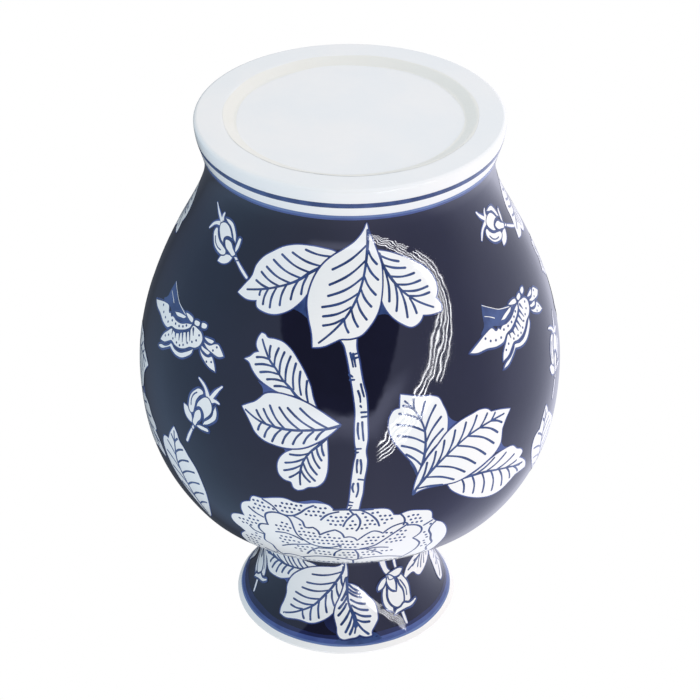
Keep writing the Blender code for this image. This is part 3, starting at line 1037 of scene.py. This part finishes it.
def flowerMotif():
    # the big open flower: one white shape, its petals drawn over it and filled with dots
    flower = Motif("flower", (3.0, 195.0))
    outline = [
        (26.5, 167.2), (23.5, 166.5), (20.5, 164.5), (17, 163.3), (15, 164.5, 1), (12, 164.8),
        (9, 163.6), (5.5, 164.5), (4.3, 167.5, 1), (1.5, 166.8), (-2.5, 167), (-6, 167),
        (-10.3, 168.5), (-11.5, 172.5, 1), (-13, 173, 1), (-15.5, 171.3), (-19, 172.3),
        (-21.8, 174.5), (-22.5, 180, 1), (-23.5, 182.5), (-26, 186), (-28, 192), (-29, 200),
        (-28.3, 207, 1), (-27, 214), (-25, 220, 1), (-21, 225), (-15, 228, 1), (-8, 227.5),
        (0, 229, 1), (8, 227), (15, 228, 1), (22, 226), (28, 223, 1), (33, 218), (35, 212),
        (35, 206), (33.5, 202), (32, 199.5, 1), (33, 197), (34.8, 194), (35.3, 190.5), (34.5, 187),
        (32, 184.5), (30, 184, 1), (30.5, 178), (30, 174.5), (27.2, 171, 1),
    ]
    flower.shape(outline)
    flower.wash([(14.5, 164.7, 1), (12, 163), (8.5, 161.6), (6, 163.5, 1), (9, 164)])
    petals = [
        [(23.5, 167), (20.5, 170.5), (19, 174), (15.5, 174.5), (13.5, 172), (11.5, 168), (9.5, 165.3)],
        [(23, 185.5), (23.3, 182), (23, 177), (21.5, 175), (18.5, 174.6), (16.5, 176.5), (15.8, 180),
         (15.3, 185), (14.7, 189), (13, 193), (11, 196.3), (8, 198), (5, 197.5), (2.5, 195)],
        [(15, 174.7), (12.8, 177.5), (12, 182), (10, 181.3, 1), (8.8, 183.5), (8.3, 187, 1),
         (6.5, 184.3), (4, 182, 1), (2.3, 184.5), (1.6, 188.2, 1), (0, 187.5), (-1.2, 188.5),
         (-1.9, 190.8, 1), (-3, 188.5), (-4.5, 185.5), (-6.5, 183.3), (-8, 184.3), (-9, 185.8, 1),
         (-10.5, 182.5), (-13, 180), (-15.3, 179.8), (-15.8, 182)],
        [(-15.8, 181.8), (-18.5, 183.3), (-20, 186.5), (-20, 190), (-18.7, 193), (-18, 194, 1),
         (-19.5, 197), (-20.7, 200.5), (-20.5, 205), (-19, 210), (-17, 214)],
        [(-24, 183.5), (-22.7, 187), (-22.5, 190), (-23.5, 194.5), (-24, 199), (-25, 204), (-24, 207),
         (-25, 212)],
        [(-22.8, 182), (-20.5, 184.5)],
        [(-13.5, 172.5), (-14.7, 177), (-14.5, 181)],
        [(23, 185.5), (25.5, 187), (26.3, 190.5), (25, 195, 1), (25.5, 198), (25.8, 202), (24, 205),
         (23.5, 210), (22, 215)],
        [(28, 175.5), (26.5, 178), (24, 180.3)],
        [(29.3, 191.5), (28.5, 194), (25.2, 195.5)],
        [(21, 190.3), (18, 189.5), (15.5, 191), (13.5, 193.5)],
        [(20.3, 203), (17, 199.5), (13, 197.3), (11.5, 196.5)],
        [(9, 199), (11.5, 203), (13, 207.3)],
        [(9, 199.3), (5, 199), (0, 199.5), (-4, 199.3), (-8, 198.3), (-11, 199.5)],
        [(4.8, 207), (4.3, 203), (2.5, 199.7)],
        [(-1.3, 199.5), (-2.3, 204), (-2.5, 211)],
        [(-5, 200), (-8, 203), (-9.5, 206)],
        [(-15.3, 181.5), (-12.5, 186), (-9.5, 191.5), (-7, 196), (-3, 198.8)],
        [(4.3, 167.4), (1.5, 167), (-2.5, 167.2), (-6, 167.1)],
        [(0, 167.5), (-1, 170.5)],
        [(-1, 170), (1, 175), (1.8, 179)],
        [(-1.5, 170), (-2.7, 175), (-2.5, 179), (-1.7, 182.5)],
        [(-3, 167.5), (-5.5, 171), (-7.3, 176), (-7.8, 179.5)],
        [(3, 168.5), (6, 171), (7.7, 175)],
        # the far side of the flower, over the shoulder
        [(-17, 214), (-12, 210), (-6, 209), (-1, 212, 1), (4, 209), (10, 209), (15, 213, 1),
         (19, 212), (22, 215)],
        [(-25, 212), (-20, 218), (-14, 219, 1), (-8, 217), (-1, 220, 1), (7, 217), (14, 219, 1),
         (22, 217), (28, 213)],
        [(-1, 212), (-1.5, 220)],
        [(14, 219), (15, 213)],
        [(-21, 225), (-20.8, 221.5), (-20, 218)],
        [(-15, 228), (-15.3, 223.5), (-14, 219)],
        [(0, 229), (-0.8, 225), (-1, 220)],
        [(15, 228), (14, 224), (14, 219)],
        [(28, 223), (26.2, 219), (25, 215.3)],
        [(-8, 222.5), (-7.6, 219.5), (-8, 217)],
        [(7.5, 222.5), (7.4, 219.5), (7, 217)],
    ]
    for petal in petals:
        flower.line(petal, brush["petal"])
    fields = [
        [(27, 168), (22, 167.5), (17, 165.5), (11.5, 166), (6, 165.5), (5, 170), (8.5, 173.5), (12, 174),
         (15.5, 172.5), (20, 173.5), (22.5, 175), (25, 177), (27, 176)],
        [(7, 169), (0, 169.5), (-6, 168.5), (-11, 171), (-12.5, 176), (-9.5, 178.5), (-5, 181), (0, 182),
         (3.5, 178.5), (7, 177)],
        [(19.5, 181), (17, 180.5), (15.8, 186), (16.5, 189), (20, 189.5), (21.5, 186)],
        [(21, 192), (17, 192), (14, 196), (15, 200), (20, 200)],
        [(15, 176.5), (13, 179), (12.5, 184), (9, 186), (5, 185.5), (3, 187.5), (0, 190), (-2.5, 193),
         (-5.5, 187), (-8, 186.5), (-11, 184), (-15, 184), (-16, 190), (-14, 196), (-8, 196), (0, 197.5),
         (8, 196.5), (12, 193), (14, 188)],
        [(17, 199), (9, 200), (0, 200.5), (-10, 200), (-13, 203), (-9, 208), (-3, 212), (3, 212), (9, 208),
         (16, 206)],
        [(-15, 174), (-19, 175), (-21, 180), (-19.5, 183), (-16.5, 180)],
        [(-20.5, 184), (-23, 184), (-23, 190), (-24, 198), (-24, 205), (-21.5, 205), (-21.5, 196),
         (-20.5, 190)],
        [(28, 181), (24, 183), (26, 186), (28, 190), (27, 193), (31, 192), (32.5, 188), (30, 185)],
        [(26.5, 197), (29, 196.5), (30.5, 202), (28, 204)],
        [(-22, 214), (-14, 214), (-6, 213), (4, 214), (14, 215), (24, 212), (24, 216), (12, 216),
         (-2, 217), (-14, 217)],
        [(-22, 219.5), (-20, 222.5), (-14, 225.8), (-8, 225.3), (0, 226.8), (8, 225), (15, 225.8),
         (21, 223.8), (27, 220.8), (31, 216.5), (33.2, 211), (33.2, 204), (29, 203), (28, 212),
         (28, 214.5), (22, 219), (14, 221), (7, 219), (-1, 222), (-8, 219), (-14, 221), (-19, 220)],
    ]
    dots = {"width": 1.6, "apart": 2.5, "rows": 2.8, "waver": 0.25, "clear": 1.4}
    strokes = np.concatenate([smoothPath(petal) for petal in petals])
    for field in fields:
        edge = np.array(field, float)
        low, high = edge.min(0), edge.max(0)
        for row, y in enumerate(np.arange(low[1] + 1.0, high[1], dots["rows"])):
            step = dots["apart"] / perDegree(y)
            first = low[0] + step * (0.5 if row % 2 else 0.1)
            spots = np.array([
                (x, y + dots["waver"] * math.sin(x * 3 + y)) for x in np.arange(first, high[0], step)
            ]).reshape(-1, 2)
            for spot in spots[insideOf(spots, edge)] if len(spots) else []:
                away = (strokes - spot) * wallScale(y)
                if np.hypot(away[:, 0], away[:, 1]).min() > dots["clear"]:
                    flower.dot(spot, dots["width"])
    return flower


def neckLeaves():
    # the leaves round the neck, their tips towards the mouth
    leaves = Motif("neck_leaves", (15.0, 278.0))
    rib = [(69.3, 267.9), (65, 266.4), (57.8, 265), (52.2, 264.7), (47.3, 264.5), (41.9, 263.8),
           (37.1, 263.1), (30.3, 261.6), (22.7, 259.2)]
    upper = [(27.4, 255.5), (35.6, 256), (46, 257), (56.4, 259), (66.9, 262), (75.3, 266)]
    lower = [(28.8, 260.9), (33.2, 263.5), (36.9, 267), (39.7, 270.1), (42, 271.4), (46.1, 273.4),
             (49.5, 274.8), (54.2, 275.8), (59.7, 276.6), (63.1, 276.7), (66.5, 274.8), (68.7, 272.2)]
    leaves.leaf(
        (18.8, 257.3), (79.5, 273), (upper, lower), rib,
        [((58.9, 265.6), (63.8, 271.3)), ((53.7, 265.2), (60.3, 273.3)), ((49.2, 264.5), (55, 273.3)),
         ((44, 264), (49.1, 271.1)), ((39, 264.2), (43.2, 269.4)), ((62.3, 265.7), (74.2, 268.5)),
         ((56.4, 265.1), (67.4, 265.5)), ((51.7, 264.5), (60.5, 264)), ((47.4, 263.9), (55.4, 262.3)),
         ((42.8, 263.5), (47.9, 259.3)), ((38.6, 262.9), (43.6, 258.4)), ((34.8, 262), (39.9, 257.3)),
         ((30.3, 261.2), (34.8, 256.6)), ((25.6, 259.7), (30.4, 256.3))],
    )
    leaves.wash([(47, 273.9, 1), (42.6, 271.6), (38.7, 269.1, 1), (42, 277.6, 1), (43.2, 275.2)])
    rib = [(1.1, 252.5), (1.9, 258.2), (3.4, 261.3), (6.5, 265.7), (10.1, 270.7), (13.7, 274.5),
           (17.1, 278.2), (21.1, 282.1), (25.1, 284.7), (28.5, 286.5), (33, 288.8), (40.1, 291.3)]
    leaves.leaf(
        (0.3, 250), (42.4, 292.4),
        ([(4.6, 254.9), (7.8, 255.8), (11.5, 256.1), (17.9, 257), (24.6, 259), (29.6, 261.5),
          (34.6, 265), (39.5, 269.9), (42, 274.9), (42.4, 277.5), (41.7, 280.1), (41.8, 283.5),
          (42.4, 286.8), (43, 289.6)],
         [(-0.9, 255.6), (-1.2, 260.6), (-0.9, 264.9), (-0.3, 270.2), (1, 274), (3.2, 277.9),
          (5.9, 281.6), (8.4, 284.8), (11.7, 287.5), (15.5, 289.6), (19, 291), (22.3, 291.6),
          (26.5, 291.4), (29.8, 291.5), (33.7, 292.2), (38, 293)]),
        rib,
        [((2.8, 258.8), (23.2, 263.2)), ((6.5, 265.7), (27.1, 269.5)), ((11.3, 271.6), (30.3, 273.6)),
         ((16.6, 277.6), (34.8, 277.8)), ((21.2, 281.8), (35.5, 282)), ((28.1, 285.7), (36.6, 285.8)),
         ((2.9, 261.9), (1.5, 269)), ((6.2, 266.9), (4.2, 275.3)), ((9.2, 271.7), (7.4, 280.5)),
         ((12.9, 274.9), (12, 284.6)), ((17.4, 278.8), (16.6, 288.2)), ((22.1, 283.3), (21.7, 290)),
         ((27.8, 286.6), (26, 290.2))],
        layer=1,
    )
    rib = [(-0.5, 263), (-1, 268), (-1.2, 274), (-2, 279), (-3, 282), (-4.5, 286), (-6, 290),
           (-5.2, 294.5)]
    leaves.leaf(
        (-0.5, 262), (0.5, 297.3),
        ([(0.8, 267), (2, 271), (4, 276), (6, 280), (6.8, 283), (7, 286), (6, 289), (5, 292),
          (4.5, 295), (2.5, 297)],
         [(-1.3, 266.3), (-4.2, 267), (-7, 268.3), (-9.2, 270), (-12.3, 272.4), (-14.8, 275.3),
          (-17.6, 278.1), (-19.2, 281), (-19.8, 284), (-20, 286.7), (-19.5, 289.5), (-17.9, 291.3),
          (-16.3, 293), (-15, 294.5), (-14.8, 296.3, 1), (-11.5, 296.5), (-7.8, 295.3, 1),
          (-6, 296.3), (-3.5, 296.6)]),
        rib,
        [((-0.5, 279), (4.5, 285.7)), ((-2.8, 282.5), (2.6, 290.3)), ((-4, 286), (0, 294)),
         ((-2.2, 272), (-10.3, 275.7)), ((-2.3, 267.2), (-8.2, 271.5)), ((-3.3, 276.6), (-12.5, 279.7)),
         ((-4, 280), (-14, 283.5)), ((-5.5, 284), (-15.3, 287)), ((-7, 288), (-14.4, 289.6)),
         ((-7, 289.5), (-13, 295.5)), ((-0.8, 270.5), (2.6, 277)), ((-1.2, 274.5), (4.2, 281.8)),
         ((-1.6, 269.6), (-9.3, 273.6)), ((-5.2, 289), (-2.4, 295))],
        layer=2, width=1.5,
    )
    leaves.wash([(5.5, 277.5, 1), (10, 284), (14, 288, 1), (11.5, 292), (5.5, 295, 1), (7, 288)],
                tone=2)
    leaves.line([(-2.4, 279), (-4.2, 283), (-5.6, 287), (-6, 291)], 2.4, layer=2, ends=(0.4, 1.1))
    leaves.wash([(6.5, 299, 1), (2, 296.4), (-8, 295.2), (-16, 295), (-20.5, 298.6, 1), (-8, 299.8)],
                tone=0, level=0.8)
    return leaves


def neckBud():
    bud = Motif("neck_bud", (-35.0, 278.0))
    bud.whiteLine([(-24.5, 250), (-26.8, 258), (-28.6, 262), (-31.2, 265)], 2.7)
    bud.whiteLine([(-35, 255), (-36, 260), (-37.2, 264)], 1.3, edge=0.9)
    bud.lined([(-30.5, 264.8), (-34, 264), (-37.3, 263.6), (-41.6, 264.6), (-42.5, 265.6), (-41.5, 267),
               (-40, 268.3), (-36, 269), (-31, 269)], layer=2)
    bud.lined([(-40, 268), (-43.5, 271.5), (-45.8, 275), (-46.7, 278.5), (-46.3, 282), (-45, 286),
               (-41, 286.5), (-38, 284), (-37, 275), (-36.3, 268.5)])
    bud.line([(-39.7, 272), (-42.3, 276), (-43.6, 279), (-43.2, 282.5)], 0.9)
    bud.lined([(-28.5, 270), (-25.7, 274), (-24.8, 278), (-25, 282), (-26.3, 285), (-29, 287),
               (-30.8, 288, 1), (-31.5, 286), (-29, 282), (-28.2, 276)])
    bud.lined([(-31, 272), (-28.8, 277), (-29, 281), (-31, 284.5), (-33.5, 286.3), (-36.5, 287),
               (-39.3, 285.5), (-40.7, 282), (-40.6, 278.5), (-38.5, 275), (-36.3, 270.5)], layer=1)
    bud.lined([(-29.3, 265.2), (-28.7, 269), (-30, 273), (-32.5, 276), (-35.3, 277.3, 1), (-35.9, 273.5),
               (-35.3, 270), (-33.3, 267)], layer=2)
    bud.line([(-33, 266.8), (-35.3, 268.5), (-38.5, 268.7)], 0.9, layer=2)
    bud.lined([(-28.8, 266.5), (-25.7, 267.3), (-23, 269.8), (-21.8, 272.1), (-22, 274, 1),
               (-24.8, 273.4), (-27.3, 271.2)], layer=2)
    bud.whiteLine([(-36.9, 288), (-37, 291), (-37.3, 295.6)], 1.5, ends=(1.35, 0.8), edge=0.6)
    bud.lined([(-31, 289.7, 1), (-33, 287.4), (-36.5, 287), (-39.5, 285.7), (-43, 287), (-46.5, 287),
               (-49.3, 286.6), (-49.7, 287.6, 1), (-47, 288.7), (-44, 289.3), (-40, 289),
               (-35, 289.2)], layer=2)
    return bud


panels = {"front": 0.0, "left": 118.0, "right": -119.0}
# where a motif strays from its panel: turn, height and spin
drifts = {
    ("butterfly", "right"): (5.5, -5.0, 0.0),
    ("bud", "right"): (0.0, 2.0, 0.0),
    ("neck_leaves", "right"): (-3.5, 0.5, 0.0),
    ("neck_bud", "left"): (-3.0, 0.0, 20.0),
}
motifs = [
    sprayMotif(), lowCluster(), broadCluster(), stemMotif(), longLeaf(), butterflyMotif(),
    budMotif(), flowerMotif(), neckLeaves(), neckBud(),
]
for motif in motifs:
    for label, panel in panels.items():
        turn, height, spin = drifts.get((motif.name, label), (0.0, 0.0, 0.0))
        motif.paint(label, panel + turn, height, spin)
smallBud = budMotif("small_bud")
for label, panel in panels.items():
    smallBud.paint(label, panel - 8.2, 83.0, -80.0, 1.07)
print("motifs painted:", len(motifs) + 1, "on", len(panels), "panels")


# Brushed bands.

def band(name, low, high, tone, seed, waver, coat=0.5):
    # a band right round the vase, with hand-brushed edges
    faceHeight = 1.5
    turns = np.arange(0.0, 360.0, 1.25)
    a = np.radians(turns)
    rng = np.random.default_rng(seed)
    edges = []
    for height in (low, high):
        wave = sum(
            rng.uniform(0.2, 1.0) / k**0.7 * np.sin(k * a + rng.uniform(0, 6.28))
            for k in (1, 3, 5, 8, 13, 21)
        )
        edges.append(height + waver * wave / 2)
    rows = max(2, math.ceil((high - low) / faceHeight) + 1)
    grid = np.stack([edges[0] + (edges[1] - edges[0]) * t for t in np.linspace(0, 1, rows)])
    z = grid.ravel() / 1000
    spots = np.tile(turns, rows)
    lift = (brush["base"] + brush["coat"] * coat) / 1000
    piece = makeMesh(
        name, vasePoint(spots, z, np.full(len(z), lift)), ringFaces(rows, len(turns)),
        [finishes[tone]], None, vaseNormal(spots, z),
    )
    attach(piece, "root")


band("foot_line", 7.7, 10.7, "brushedLine", 3, 0.3)
band("ground_edge_low", 15.8, 17.3, "paleEdge", 5, 0.35)
band("ground_fade_low", 16.8, 18.7, "blueEdge", 6, 0.5, coat=0.2)
band("mouth_edge", 299.2, 300.5, "paleEdge", 12, 0.5, coat=0.4)
band("ground_edge_high", 297.7, 299.8, "blueEdge", 8, 1.0)
band("ground_fade_high", 295.6, 298.8, "deepEdge", 11, 1.8, coat=0.2)
print("bands brushed")


def clayBand():
    # where the glaze was wiped from the slope inside the foot ring
    ringInside = float(stations[0, 1]) - vaseForm["footEdge"] - turning["ringWidth"]
    recessInside = ringInside - turning["recessBevel"]
    turns = np.arange(0.0, 360.0, 1.5)
    a = np.radians(turns)
    inner = recessInside + 0.0004 * np.sin(2 * a + 1) + 0.0003 * np.sin(7 * a) - 0.0002
    outer = ringInside + 0.0005 * np.sin(a + 2.6) + 0.0002 * np.sin(11 * a + 2) + 0.0001
    points, normals = [], []
    rows = 9
    for t in np.linspace(0.0, 1.0, rows):
        r = inner + (outer - inner) * t
        rise = np.clip((ringInside - r) / turning["recessBevel"], 0.0, 1.0)
        z = turning["recessDepth"] * rise - 0.0001
        points.append(turnedPoint(turns, r, z))
        slopeShare = smoothStep(rise * 8) * smoothStep((1 - rise) * 8)
        tilt = np.arctan2(turning["recessDepth"], turning["recessBevel"]) * slopeShare
        normals.append(np.stack([-np.sin(tilt) * np.sin(a), np.sin(tilt) * np.cos(a), -np.cos(tilt)], -1))
    piece = makeMesh(
        "foot_clay_band", np.concatenate(points), ringFaces(rows, len(turns)),
        [finishes["bareClay"]], None, np.concatenate(normals),
    )
    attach(piece, "root")


clayBand()


# Floor, light and camera.

def oneSidedFloor():
    # pale, seen only from above; the light from below goes through it
    look = {"size": 3.0, "drop": 0.0004, "colour": (0.90, 0.90, 0.90), "cuts": 5}
    n = look["cuts"]
    cuts = np.linspace(-look["size"], look["size"], n)
    points = [(x, y, -look["drop"]) for y in cuts for x in cuts]
    faces = [(i, i + 1, i + n + 1, i + n) for i in range(n * (n - 1)) if (i + 1) % n]
    material, tree = newMaterial("paleFloor")
    shade = tree.add("ShaderNodeBsdfDiffuse", None, {"Color": colour(*look["colour"])})
    clear = tree.add("ShaderNodeBsdfTransparent")
    behind = tree.add("ShaderNodeNewGeometry", output=6)
    both = tree.add("ShaderNodeMixShader", None, {0: behind, 1: shade, 2: clear})
    tree.add("ShaderNodeOutputMaterial", None, {"Surface": both})
    floor = makeMesh("floor", points, faces, [material])
    floor.visible_shadow = floor.visible_diffuse = floor.visible_glossy = False


oneSidedFloor()

studio = {
    "fillLeft": (0.50, 0.63, 0.72),       # what falls on the vase from +X
    "fillRight": (1.37, 1.27, 1.20),      # and from -X
    "darkCentre": 7.0,                    # the dark opening that the gloss shows, in degrees
    "darkHalf": 22.0,
    "darkFlare": 0.8,
    "darkTop": 4.0,
    "darkLight": (0.10, 0.10, 0.17),
    "darkSoftness": 3.0,
    "waver": 5.0,
    "rim": (1.0, 1.05, 1.45),             # the brighter strip round the opening
    "slatsAt": 32.0,                      # bright slats of a blind, off to the right
    "slatStep": 2.6,
    "slatTilt": 0.8,
    "slatWaver": 9.0,
    "slatLight": (45.0, 45.0, 46.0),
}
# what the gloss shows at eye height, by degrees round from the front towards +X
surroundings = [
    (-180, (0.45, 0.45, 0.55)), (-155, (1.10, 1.12, 1.35)), (-120, (1.05, 1.10, 1.45)),
    (-92, (1.00, 1.05, 1.50)), (-72, (0.72, 0.76, 1.18)), (-45, (0.68, 0.72, 1.10)),
    (-15, (0.80, 0.84, 1.20)), (30, (0.60, 0.68, 0.95)), (60, (0.52, 0.66, 0.92)),
    (90, (0.42, 0.60, 0.84)), (118, (0.32, 0.45, 0.64)), (135, (0.20, 0.26, 0.36)),
    (150, (0.10, 0.12, 0.15)), (172, (0.08, 0.09, 0.11)), (180, (0.45, 0.45, 0.55)),
]


def lightStudio():
    world = bpy.data.worlds.new("tent")
    scene.world = world
    world.use_nodes = True
    tree = Tree(world.node_tree)
    direction = tree.add("ShaderNodeTexCoord", output=0)
    x, y, z = (tree.add("ShaderNodeSeparateXYZ", None, {0: direction}, output=i) for i in range(3))
    bearing = tree.maths("ARCTAN2", x, -y) * math.degrees(1.0)
    raised = tree.maths("ARCSINE", z) * math.degrees(1.0)
    stops = [((turn + 180) / 360, colour(*tint)) for turn, tint in surroundings]
    around = tree.add("ShaderNodeValToRGB", {"stops": stops}, {0: (bearing + 180.0) / 360.0})
    wave = (tree.noise(direction, 5.0, 1.0) - 0.5) * studio["waver"]
    half = (raised * -studio["darkFlare"] + studio["darkHalf"]) + wave
    beside = tree.maths("ABSOLUTE", bearing - studio["darkCentre"]) - half
    corners = {0: beside, 1: raised - studio["darkTop"] + wave, 2: studio["darkSoftness"]}
    outside = tree.add("ShaderNodeMath", {"operation": "SMOOTH_MAX"}, corners)
    opening = tree.ramp(outside, 1.2, -1.2) * tree.ramp(raised, -42.0, -28.0)
    rightOrHigh = tree.ramp(raised - bearing * 0.25, -2.0, 5.0)
    strip = tree.ramp(outside, 0.0, 2.5) * tree.ramp(outside, 15.0, 4.0) * rightOrHigh
    rim = tree.mix(strip, colour(0, 0, 0), colour(*studio["rim"]))
    lit = tree.mix(1.0, around, rim, "ADD")
    slats = raised - bearing * studio["slatTilt"] - studio["slatsAt"]
    slats = slats + (tree.noise(direction, 6.0, 1.0) - 0.5) * studio["slatWaver"]
    lines = tree.ramp(tree.maths("SINE", slats * (2 * math.pi / studio["slatStep"])), 0.72, 0.92)
    near = tree.ramp(tree.maths("ABSOLUTE", slats), 6.2, 5.8) * tree.ramp(bearing, -67.0, -64.0)
    near = near * tree.ramp(bearing, -13.0, -16.0)
    near = near * tree.ramp(tree.noise(direction, 5.0, 1.0), 0.38, 0.42)
    slatLight = tree.mix(lines * near, colour(0, 0, 0), colour(*studio["slatLight"]))
    mirrored = tree.mix(opening, lit, colour(*studio["darkLight"]))
    mirrored = tree.mix(1.0, mirrored, slatLight, "ADD")
    fill = tree.mix(((1.0 - x) * 0.5) ** 0.75, colour(*studio["fillLeft"]), colour(*studio["fillRight"]))
    seen = tree.add("ShaderNodeLightPath", output=0)
    glossy = tree.add("ShaderNodeLightPath", output=3)
    shown = tree.mix(glossy, tree.mix(seen, fill, colour(1, 1, 1)), mirrored)
    light = tree.add("ShaderNodeBackground", None, {"Color": shown})
    tree.add("ShaderNodeOutputWorld", None, {"Surface": light})
    scene.view_settings.view_transform = "Standard"


lightStudio()


def placeCamera():
    view = {"back": 1.131954, "below": 0.600217, "pitch": 33.3109, "focal": 129.588}
    pitch = math.radians(view["pitch"])
    camera = bpy.data.cameras.new("camera")
    camera.lens, camera.sensor_width = view["focal"], 36.0
    camera.clip_start, camera.clip_end = 0.05, 20.0
    seat = bpy.data.objects.new("camera", camera)
    right = Vector((-1.0, 0.0, 0.0))
    up = Vector((0.0, math.sin(pitch), -math.cos(pitch)))
    back = right.cross(up)
    seat.matrix_world = Matrix.Translation((0.0, -view["back"], -view["below"])) @ Matrix(
        (right, up, back)
    ).transposed().to_4x4()
    scene.collection.objects.link(seat)
    scene.camera = seat


placeCamera()
print("studio ready")
